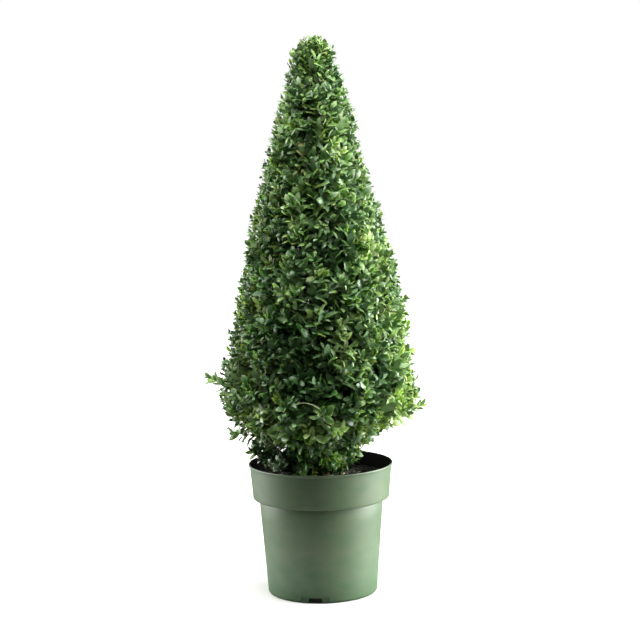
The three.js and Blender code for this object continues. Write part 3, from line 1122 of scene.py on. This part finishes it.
def outline_radius(points):
    """The outline's radius towards each point, read from the table between its entries."""
    i = (np.arctan2(points[:, 1], points[:, 0]) + math.pi) / (TABLE_ANGLES[1] - TABLE_ANGLES[0])
    j = (points[:, 2] - TABLE_HEIGHTS[0]) / (TABLE_HEIGHTS[1] - TABLE_HEIGHTS[0])
    i = np.clip(i, 0, len(TABLE_ANGLES) - 1.001)
    j = np.clip(j, 0, len(TABLE_HEIGHTS) - 1.001)
    i0, j0 = i.astype(int), j.astype(int)
    di, dj = i - i0, j - j0
    near = RADII[i0, j0] * (1 - dj) + RADII[i0, j0 + 1] * dj
    far = RADII[i0 + 1, j0] * (1 - dj) + RADII[i0 + 1, j0 + 1] * dj
    return near * (1 - di) + far * di


def trim(piece):
    """Shortens each leaf that stands out too far, about its own foot."""
    corners = np.zeros(len(piece.data.vertices) * 3)
    piece.data.vertices.foreach_get("co", corners)
    leaves = corners.reshape(-1, LEAF_CORNERS, 3)
    feet, ends = leaves[:, 0], leaves[:, -1]
    out = np.hypot(ends[:, 0], ends[:, 1])
    reach = out - np.hypot(feet[:, 0], feet[:, 1])
    right, front = ends[:, 0] / out, -ends[:, 1] / out
    allowed = (6 + 11 * np.maximum(0, front) + 4 * np.maximum(0, right)) * MM
    allowed *= 1.1 - 0.5 * height_share(ends[:, 2])
    past = out - outline_radius(ends) - allowed
    above = ends[:, 2] - crown_top - 5 * MM
    size = np.ones(len(leaves))
    for over, span in ((past, reach), (above, ends[:, 2] - feet[:, 2])):
        shorter = 1 - over / np.maximum(span, 1e-6)
        size = np.where((over > 0) & (span > 0), np.minimum(size, shorter), size)
    size = np.clip(size, SHORTEST, 1)
    leaves[:] = feet[:, None] + (leaves - feet[:, None]) * size[:, None, None]
    piece.data.vertices.foreach_set("co", leaves.ravel())
    piece.data.update()
    print(piece.name, len(leaves), "leaves,", int((size < 1).sum()), "trimmed")


print("outline read at", RADII.size, "places")

# %% Leaves for each mass
def leaves_of(name, chosen, seed, spacing=PAIR_SPACING, bare=BARE_SHARE, clipped=True):
    values = {key: [getattr(shoot, key) for shoot in chosen] for key in SHOOT_ATTRIBUTES}
    guide = paths_object(name + "_paths", [shoot.path() for shoot in chosen], **values)
    settings = {"Pair Spacing": spacing, "Leaf Length": LEAF_LENGTH, "Bare Share": bare}
    settings |= {"Seed": seed, "Leaf Forms": leaf_forms}
    piece = made_by_nodes(name, guide, leaf_nodes, settings)
    remove_attributes(piece, [*SHOOT_ATTRIBUTES, *TREE_ATTRIBUTES])
    if clipped:
        trim(piece)
    print(name, len(chosen), "shoots", triangles(piece), "triangles")
    return piece


leaf_pieces = {}
for number, mass in enumerate(MASSES):
    chosen = [shoot for shoot in shoots if shoot.mass == mass]
    leaf_pieces[mass] = leaves_of(mass.replace("crown", "leaves"), chosen, 10 * number)
chosen = [shoot for shoot in shoots if shoot.mass == SPRIG_MASS]
inside_leaves = leaves_of("leaves_inside", inner_shoots, 80)
sprig_leaves = leaves_of("leaves_sprigs", chosen, 90, spacing=5.5 * MM, bare=0.28, clipped=False)

# %% [markdown]
# ## The pot
#
# A nursery pot is moulded from recycled plastic, green outside and black inside, with a deep rim band
# that steps out so pots stack. It could be built up from a cylinder ring by ring, but its wall is the
# same all round, so one profile is turned about the axis. The drain slots at its foot are cut out of
# that afterwards.

# %% Pot materials
CLOUD = 38 * MM  # patches in recycled plastic
MOULD_GRAIN = 1.1 * MM  # coarser than a real mould's, so that it shows
FOOT_SHADE_HEIGHT = 90 * MM  # painted shade: the foot is a little darker and greener below this, for the shade near the floor


def pot_material(name, colour, tints, roughness, gloss):
    """Moulded polypropylene: a dull waxy surface, cloudy where the recycled plastic mixed badly, with painted
    shade that darkens it towards the foot.
    """
    material = new_material(name, colour, roughness, Specular_IOR_Level=gloss)
    tree = material.node_tree
    place = add_node(tree, "ShaderNodeTexCoord").outputs["Object"]
    flow = add_node(tree, "ShaderNodeMapping", {"Vector": place, "Scale": (1, 1, 1.6)})
    cloud = add_node(tree, "ShaderNodeTexNoise", {"Vector": flow, "Scale": 1 / CLOUD, "Detail": 5.0})
    level = add_node(tree, "ShaderNodeSeparateXYZ", {0: place}).outputs["Z"]
    # painted shade: the colour darkens towards the foot, for the shade near the floor
    foot_shade = {"Value": level, "From Min": 0.0, "From Max": FOOT_SHADE_HEIGHT, "To Min": -0.4, "To Max": 0.0}
    foot_shade = add_node(tree, "ShaderNodeMapRange", foot_shade)
    shade = add_node(tree, "ShaderNodeMath", {0: cloud, 1: foot_shade}, operation="ADD")
    grain = add_node(tree, "ShaderNodeTexNoise", {"Vector": place, "Scale": 1 / MOULD_GRAIN, "Detail": 2.0})
    add_pattern(material, shade, tints, (0.05, 0.7), grain, 0.12, 0.3 * MM)
    return material


pot_green = pot_material("moulded_green_polypropylene", "#53684a", ("#3f603c", "#5c6d50"), 0.52, 0.65)
pot_black = pot_material("moulded_black_polypropylene", "#080908", ("#070807", "#0a0b0a"), 0.8, 0.06)
print("pot materials", pot_green.name, "and", pot_black.name)

# %% The turned wall
pot_low, pot_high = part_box("pot")
SHARE = (pot_high.x - pot_low.x) / 2 / 130  # metres for each millimetre of the pot's drawing
TURN_SIDES = 160


def pot_profile():
    """Radius and height from the underside's middle, up outside and down inside, and the split."""
    top = pot_high.z / SHARE
    foot, shoulder = 98.5, 111.2  # radii of the plain wall where it starts and ends
    neck = top - 64.2  # the plain wall ends here, under the rim band
    foot_corner = [(89, 0), (92.5, 0), (92.8, 0.7), (94.5, 0.8)]
    for i in range(1, 6):
        angle = i / 5 * math.pi / 2
        foot_corner.append((94.5 + 4 * math.sin(angle), 0.8 + 5 * (1 - math.cos(angle))))
    wall = [(foot + (shoulder - foot) * i / 6, 5.8 + (neck - 6 - 5.8) * i / 6) for i in range(1, 7)]
    step = [(110.6, neck - 3), (110.4, neck - 1), (110.8, neck), (114.6, neck + 0.8), (120.9, neck + 1.4)]
    band = [(122.3, neck + 2.2), (122.8, neck + 3.8), (123.1, neck + 7), (124.3, neck + 22)]
    band += [(126.1, neck + 42), (127.4, top - 8)]
    lip = [(127.7, top - 5.6), (127.8, top - 4.6), (128.7, top - 3.9), (129.7, top - 3.1), (130, top - 2)]
    lip += [(129.8, top - 0.8), (129.2, top)]
    outside = [(0, 0), (60, 0), *foot_corner, *wall, *step, *band, *lip]
    inside = [(127.8, top - 0.2), (126.6, top - 1.6), (125.6, top - 5), (125.1, top - 9)]
    inside += [(123.4, neck + 42), (121.6, neck + 22), (120.2, neck + 8), (118.6, neck + 5.2)]
    inside += [(112.0, neck + 3.6), (109.6, neck + 1), (109.2, neck - 3), (96.4, 6), (93, 3), (60, 3), (0, 3)]
    return [(r * SHARE, z * SHARE) for r, z in outside + inside], len(outside)


def turned_mesh(name, profile, sides, outer_rows=None):
    """A closed solid of revolution. Faces after the outer rows, if given, take the second material."""
    vertices, faces = [Vector((0, 0, profile[0][1]))], []
    for r, z in profile[1:-1]:
        for k in range(sides):
            angle = k * math.tau / sides
            vertices.append(Vector((r * math.cos(angle), r * math.sin(angle), z)))
    vertices.append(Vector((0, 0, profile[-1][1])))
    last, rows = len(vertices) - 1, len(profile) - 2
    for k in range(sides):
        following = (k + 1) % sides
        faces.append((0, 1 + following, 1 + k))
        for a in range(1, 1 + (rows - 1) * sides, sides):
            faces.append((a + k, a + following, a + sides + following, a + sides + k))
        top = 1 + (rows - 1) * sides
        faces.append((top + k, top + following, last))
    mesh = new_mesh(name, vertices, faces)
    if outer_rows:
        for polygon in mesh.polygons:
            polygon.material_index = int(polygon.index % (rows + 1) >= outer_rows)
    return mesh


# %% Drain slots in shallow panels
DRAINS = 3
FIRST_DRAIN = math.radians(-98)
SLOT = dict(width=24 * MM, height=9.5 * MM, inner_edge=85.5 * MM)
PANEL = dict(width=50 * MM, height=11.5 * MM, inner_edge=97 * MM)
OUTER_EDGE = 106 * MM  # clear of the pot's foot
PANEL_STEPS = 10


def slot_cutter(angle, width, height, inner_edge):
    """A rounded block that cuts one drain slot through the pot's foot."""
    bm = bmesh.new()
    bmesh.ops.create_cube(bm, size=1)
    bmesh.ops.scale(bm, vec=(OUTER_EDGE - inner_edge, width, 2 * height), verts=bm.verts)
    along = [e for e in bm.edges if abs(e.verts[0].co.x - e.verts[1].co.x) > 1 * MM]
    bmesh.ops.bevel(bm, geom=along, offset=2.5 * MM, segments=3, affect="EDGES", profile=0.5)
    bmesh.ops.translate(bm, vec=((OUTER_EDGE + inner_edge) / 2, 0, 0), verts=bm.verts)
    bmesh.ops.rotate(bm, cent=(0, 0, 0), matrix=Matrix.Rotation(angle, 3, "Z"), verts=bm.verts)
    mesh = bpy.data.meshes.new("slot_cutter")
    bm.to_mesh(mesh)
    bm.free()
    return new_object("slot_cutter", mesh, [pot_green])


def panel_cutter(angle, width, height, inner_edge):
    """A curved block that sinks the shallow panel round one drain slot."""
    section = [(inner_edge, -height), (OUTER_EDGE, -height), (OUTER_EDGE, height), (inner_edge, height)]
    corners, faces = [], []
    for i in range(PANEL_STEPS + 1):
        turn = angle + width / inner_edge * (i / PANEL_STEPS - 0.5)
        corners += [(radius * math.cos(turn), radius * math.sin(turn), level) for radius, level in section]
    last = 4 * PANEL_STEPS
    for a in range(0, last, 4):
        faces += [(a + (k + 1) % 4, a + k, a + 4 + k, a + 4 + (k + 1) % 4) for k in range(4)]
    faces += [(0, 1, 2, 3), (last + 3, last + 2, last + 1, last)]
    return new_object("panel_cutter", new_mesh("panel_cutter", corners, faces), [pot_green])


def cut(piece, cutters):
    """Cuts the cutters out of a piece and returns the result as a plain mesh."""
    for cutter in cutters:
        modifier = piece.modifiers.new("cut", "BOOLEAN")
        modifier.operation = "DIFFERENCE"
        modifier.solver = "EXACT"
        modifier.object = cutter
    depsgraph = bpy.context.evaluated_depsgraph_get()
    mesh = bpy.data.meshes.new_from_object(piece.evaluated_get(depsgraph))
    for helper in [piece, *cutters]:
        bpy.data.objects.remove(helper)
    return mesh


profile, outer_rows = pot_profile()
blank = turned_mesh("pot_blank", profile, TURN_SIDES, outer_rows)
blank = new_object("pot_blank", blank, [pot_green, pot_black])
cutters = []
for i in range(DRAINS):
    angle = FIRST_DRAIN + i * math.tau / DRAINS
    cutters += [slot_cutter(angle, **SLOT), panel_cutter(angle, **PANEL)]
pot_mesh = cut(blank, cutters)
pot_mesh.name = "pot_wall"
pot_mesh.shade_smooth()
pot_mesh.set_sharp_from_angle(angle=math.radians(38))
pot = new_object("pot_wall", pot_mesh)
print("pot", triangles(pot), "triangles, materials", [m.name for m in pot_mesh.materials])

# %% [markdown]
# ## The potting mix
#
# The mix is dark moist peat with crumbs and light brown bark chips on top. Its block is turned like the
# pot, and a noise lifts the top into lumps. Bump alone would stay flat under the light along the rim, so
# the chips and crumbs are real, and Geometry Nodes scatter them.

# %% Potting mix materials
CRUMB = 3.3 * MM


def peat_material():
    """Moist peat: almost black, with no shine, crumbly all over."""
    material = new_material("moist_peat", "#2a211a", 0.95)
    tree = material.node_tree
    place = add_node(tree, "ShaderNodeTexCoord").outputs["Object"]
    crumb = add_node(tree, "ShaderNodeTexNoise", {"Vector": place, "Scale": 1 / CRUMB, "Detail": 6.0})
    add_pattern(material, crumb, ("#0d0a08", "#2e241b"), (0.38, 0.7), crumb, 0.8, 1.5 * MM)
    return material


# Composted bark: a few pale fresh splinters among brown and almost black ones, all dull.
peat = peat_material()
CHIP_COLOURS = {"bark_chip_pale": "#928a6e", "bark_chip_brown": "#575040", "bark_chip_dark": "#25211b"}
pale_chip, brown_chip, dark_chip = (new_material(name, c, 0.85) for name, c in CHIP_COLOURS.items())
print("potting mix materials", [peat.name, *CHIP_COLOURS])

# %% The block with its uneven top
MIX_LEVEL = 210 * MM
MIX_EDGE = 121.4 * MM
MIX_FOOT = 3.6 * MM
MIX_SIDE = [(95.8, 3.6), (108.6, 170), (108.8, 173), (119.4, 180), (120.4, 196)]  # radius and height, mm
MIX_RINGS = 30
HILL = 3 * MM
LUMPS = [(45, 2.6 * MM), (170, 1.5 * MM)]  # how many in a metre, and how high


def mix_mesh():
    profile = [(0, MIX_FOOT)] + [(r * MM, z * MM) for r, z in MIX_SIDE]
    profile += [(MIX_EDGE * (1 - i / MIX_RINGS), MIX_LEVEL) for i in range(MIX_RINGS)]
    profile.append((0, MIX_LEVEL + HILL))
    mesh = turned_mesh("potting_mix", profile, 120)
    for vertex in mesh.vertices:
        if vertex.co.z > MIX_LEVEL - 1 * MM:
            lumps = sum(noise.noise(vertex.co * count) * rise for count, rise in LUMPS)
            vertex.co.z = MIX_LEVEL + HILL * (1 - off_axis(vertex.co) / MIX_EDGE) + lumps
    mesh.shade_smooth()
    return mesh


potting_mix = new_object("potting_mix_block", mix_mesh(), [peat])
print("potting mix", triangles(potting_mix), "triangles")

# %% Chip forms
CHIP_FORMS = 6


def chip_form(name, seed, size):
    """A rough splinter: a small box with jittered corners."""
    chance = random.Random(seed)
    bm = bmesh.new()
    bmesh.ops.create_cube(bm, size=1)
    bmesh.ops.scale(bm, vec=size, verts=bm.verts)
    for vertex in bm.verts:
        vertex.co += Vector([chance.uniform(-0.22, 0.22) * side for side in size])
    mesh = bpy.data.meshes.new(name)
    bm.to_mesh(mesh)
    bm.free()
    return mesh


chip_forms = bpy.data.collections.new("chip_forms")
scene.collection.children.link(chip_forms)
for seed in range(CHIP_FORMS):
    name = f"chip_{seed}"
    size = (1.0, 0.45 + 0.08 * seed, 0.22 + 0.04 * (seed % 3))
    chip_forms.objects.link(bpy.data.objects.new(name, chip_form(name, seed, size)))
print(len(chip_forms.objects), "chip forms of", triangles(chip_forms.objects[0]), "triangles")

# %% Scatter the chips
CHIPS = {"Density": 26000.0, "Smallest": 1.6 * MM, "Largest": 12 * MM, "Seed": 3, "Chip Forms": chip_forms}
CLEAR_OF_WALL = 110 * MM
LEAN, TURN = 0.5, 3.1  # how far a chip tips and turns, in radians


def chip_tree():
    kinds = {"Density": "Float", "Smallest": "Float", "Largest": "Float", "Seed": "Int"}
    inputs = {name: (kind, CHIPS[name]) for name, kind in kinds.items()}
    tree, ins = new_geometry_tree("scattered_chips", {**inputs, "Chip Forms": ("Collection", None)})
    scatter = {"Mesh": ins["Geometry"], "Density": ins["Density"], "Seed": ins["Seed"]}
    points = add_node(tree, "GeometryNodeDistributePointsOnFaces", scatter)
    any_size = add_node(tree, "FunctionNodeRandomValue", {2: 0.0, 3: 1.0, "Seed": ins["Seed"]})
    few_large = add_node(tree, "ShaderNodeMath", {0: any_size, 1: 3.0}, operation="POWER")
    span = {"Value": few_large, "To Min": ins["Smallest"], "To Max": ins["Largest"]}
    size = add_node(tree, "ShaderNodeMapRange", span)
    angles = {0: (-LEAN, -LEAN, -TURN), 1: (LEAN, LEAN, TURN), "Seed": 8}
    spin = add_node(tree, "FunctionNodeRandomValue", angles, data_type="FLOAT_VECTOR")
    pick = add_node(tree, "FunctionNodeRandomValue", {4: 0, 5: CHIP_FORMS - 1, "Seed": 9}, data_type="INT")
    choice = {"Collection": ins["Chip Forms"], "Separate Children": True}
    forms = add_node(tree, "GeometryNodeCollectionInfo", choice)
    setting = {
        "Points": points,
        "Instance": forms,
        "Pick Instance": True,
        "Instance Index": pick,
        "Rotation": spin,
        "Scale": size,
    }
    chips = add_node(tree, "GeometryNodeInstanceOnPoints", setting)
    any_kind = add_node(tree, "FunctionNodeRandomValue", {2: 0.0, 3: 1.0, "Seed": 12})
    record = {"Geometry": chips, "Name": "kind", "Value": any_kind}
    chips = add_node(tree, "GeometryNodeStoreNamedAttribute", record, data_type="FLOAT", domain="INSTANCE")
    chips = add_node(tree, "GeometryNodeRealizeInstances", {"Geometry": chips})
    kind = add_node(tree, "GeometryNodeInputNamedAttribute", {"Name": "kind"}, data_type="FLOAT")
    for share, material in ((1.1, dark_chip), (0.34, brown_chip), (0.1, pale_chip)):
        chosen = add_node(tree, "ShaderNodeMath", {0: kind, 1: share}, operation="LESS_THAN")
        finish = {"Geometry": chips, "Selection": chosen, "Material": material}
        chips = add_node(tree, "GeometryNodeSetMaterial", finish)
    add_node(tree, "NodeGroupOutput", {"Geometry": chips})
    return tree


def mix_top():
    """The open top of the mix, as a guide for the chips."""
    mesh = potting_mix.data
    faces = []
    for polygon in mesh.polygons:
        on_top = polygon.normal.z > 0.3 and polygon.center.z > MIX_LEVEL - 6 * MM
        if on_top and off_axis(polygon.center) < CLEAR_OF_WALL:
            faces.append(tuple(polygon.vertices))
    return new_object("mix_top", new_mesh("mix_top", [v.co for v in mesh.vertices], faces))


chips = made_by_nodes("bark_chips", mix_top(), chip_tree(), CHIPS)
remove_attributes(chips, ["kind"])
print("chips", triangles(chips), "triangles")

# %% Clear away the forms, which only served as patterns
for collection in (leaf_forms, chip_forms):
    for form in list(collection.objects):
        bpy.data.objects.remove(form)
    bpy.data.collections.remove(collection)

# %% [markdown]
# ## Floor, light and camera
#
# The plant stands on a plain white floor in a white studio. One lamp in front would flatten it, so large
# soft lights stand on both sides, with the right one the brighter, and leave the middle of the front in
# shade. A weak high light in front keeps that shade open, and two low ones do the same for the pot.

# %% Floor
FLOOR_HALF = 8.0
NEAR_GREY, RING_GREY, FAR_GREY = 0.26, 0.64, 0.04  # how much light the floor gives back to the plant


def floor_shading():
    """White paper, overexposed for the camera. The plant gets most light back from a ring round the pot."""
    material = new_material("matt_white_paper", "#f4f3f0", 0.8)
    tree = material.node_tree
    seen = tree.nodes["Principled BSDF"]
    place = add_node(tree, "ShaderNodeTexCoord").outputs["Object"]
    far = add_node(tree, "ShaderNodeVectorMath", {0: place}, operation="LENGTH").outputs["Value"]
    glow = {"Value": far, "From Min": 0.2, "From Max": 1.6, "To Min": 0.0, "To Max": 0.95}
    glow = add_node(tree, "ShaderNodeMapRange", glow)
    seen.inputs["Emission Color"].default_value = (1, 1, 1, 1)
    tree.links.new(glow.outputs[0], seen.inputs["Emission Strength"])
    growing = {"Value": far, "From Min": 0.12, "From Max": 0.22, "To Min": NEAR_GREY, "To Max": RING_GREY}
    fading = {"Value": far, "From Min": 0.22, "From Max": 0.4, "To Min": RING_GREY, "To Max": FAR_GREY}
    near, beyond = (add_node(tree, "ShaderNodeMapRange", zone) for zone in (growing, fading))
    paper = add_node(tree, "ShaderNodeMath", {0: near, 1: beyond}, operation="MINIMUM")
    bounce = add_node(tree, "ShaderNodeBsdfDiffuse", {"Color": paper})
    for_camera = add_node(tree, "ShaderNodeLightPath").outputs["Is Camera Ray"]
    mixed = add_node(tree, "ShaderNodeMixShader", {0: for_camera, 1: bounce, 2: seen})
    tree.links.new(mixed.outputs[0], tree.nodes["Material Output"].inputs["Surface"])
    return material


corners = [(x * FLOOR_HALF, y * FLOOR_HALF, 0) for x, y in ((-1, -1), (1, -1), (1, 1), (-1, 1))]
floor = new_object("floor", new_mesh("floor", corners, [(0, 1, 2, 3)]), [floor_shading()])

# %% World
def studio_world():
    """A white wall for the camera. As a light it is bright behind the plant and almost dark in front."""
    world = bpy.data.worlds.new("studio")
    world.use_nodes = True
    tree = world.node_tree
    backdrop = tree.nodes["Background"]
    backdrop.inputs["Color"].default_value = (1, 1, 1, 1)
    way = add_node(tree, "ShaderNodeTexCoord").outputs["Generated"]
    way = add_node(tree, "ShaderNodeSeparateXYZ", {0: way}).outputs
    to_right = add_node(tree, "ShaderNodeMath", {0: way["X"], 1: 0.25}, operation="MULTIPLY")
    behind = add_node(tree, "ShaderNodeMath", {0: way["Y"], 1: to_right}, operation="ADD")
    glow = {"Value": behind, "From Min": -0.3, "From Max": 0.5, "To Min": 0.02, "To Max": 0.7}
    glow = add_node(tree, "ShaderNodeMapRange", glow)
    tree.links.new(glow.outputs[0], backdrop.inputs["Strength"])
    white = add_node(tree, "ShaderNodeBackground", {"Color": (1, 1, 1, 1), "Strength": 1.0})
    for_camera = add_node(tree, "ShaderNodeLightPath").outputs["Is Camera Ray"]
    mixed = add_node(tree, "ShaderNodeMixShader", {0: for_camera, 1: backdrop, 2: white})
    tree.links.new(mixed.outputs[0], tree.nodes["World Output"].inputs["Surface"])
    return world


scene.world = studio_world()

# %% Lamps
# Azimuth from the front in degrees, distance, height, width and height of the lamp, and power in watts.
LAMPS = {
    "right_side": (94, 1.9, 0.6, (1.3, 1.6), 138),
    "left_side": (-105, 2.0, 1.4, (1.4, 2.0), 50),
    "overhead": (4, 0.5, 2.7, (1.5, 1.2), 68),
    "front_high": (0, 1.6, 2.0, (1.6, 1.2), 9),
    "right_card": (95, 1.1, 0.35, (0.9, 0.6), 7),
    "left_card": (-105, 1.1, 0.2, (0.9, 0.35), 10),
}
MIDDLE = Vector((0, 0, 0.5))  # of the plant, where the lamps point


def soft_light(name, azimuth, distance, height, size, power):
    """A rectangular lamp, turned to the plant's middle."""
    turn = math.radians(azimuth)
    lamp = bpy.data.lights.new(name, "AREA")
    lamp.shape = "RECTANGLE"
    lamp.size, lamp.size_y = size
    lamp.energy = power
    holder = bpy.data.objects.new(name, lamp)
    holder.location = (distance * math.sin(turn), -distance * math.cos(turn), height)
    holder.rotation_euler = (MIDDLE - holder.location).to_track_quat("-Z", "Y").to_euler()
    scene.collection.objects.link(holder)


for name, settings in LAMPS.items():
    soft_light(name, *settings)
print(len(LAMPS), "lamps")

# %% Camera
CAMERA_PLACE = (0.0036, -3.6, 0.932)
PITCH, ROLL = math.radians(90 - 6.94), math.radians(1.05)  # it looks down 7 degrees and leans 1
camera_data = bpy.data.cameras.new("camera")
camera_data.lens = 114.2
camera_data.sensor_width = 36
camera = bpy.data.objects.new("camera", camera_data)
camera.location = CAMERA_PLACE
camera.rotation_euler = (Matrix.Rotation(PITCH, 3, "X") @ Matrix.Rotation(-ROLL, 3, "Z")).to_euler()
scene.collection.objects.link(camera)
scene.camera = camera
print("camera", round(camera.location.length, 2), "m away, lens", round(camera_data.lens, 1), "mm")

# %% [markdown]
# ## What stands for what
#
# Each piece rides on the one body and hides the packed solids that it stands for. Twigs and inner
# leaves stand for no solid of their own.

# %% Ride and replace
ROLES = [(piece, "foliage", [mass]) for mass, piece in leaf_pieces.items()]
ROLES += [
    (sprig_leaves, "foliage", SPRIGS),
    (inside_leaves, "foliage", []),
    (stem, "bark", ["stem"]),
    (twigs, "bark", []),
    (dry_twigs, "bark", []),
    (shoot_stems, "foliage", []),
    (pot, "pot", ["pot"]),
    (potting_mix, "potting_mix", ["potting_mix"]),
    (chips, "potting_mix", []),
]
for piece, slot, nodes in ROLES:
    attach(piece, "root")
    if nodes:
        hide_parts(*nodes)
print("triangles in all", sum(triangles(piece) for piece, _, _ in ROLES))
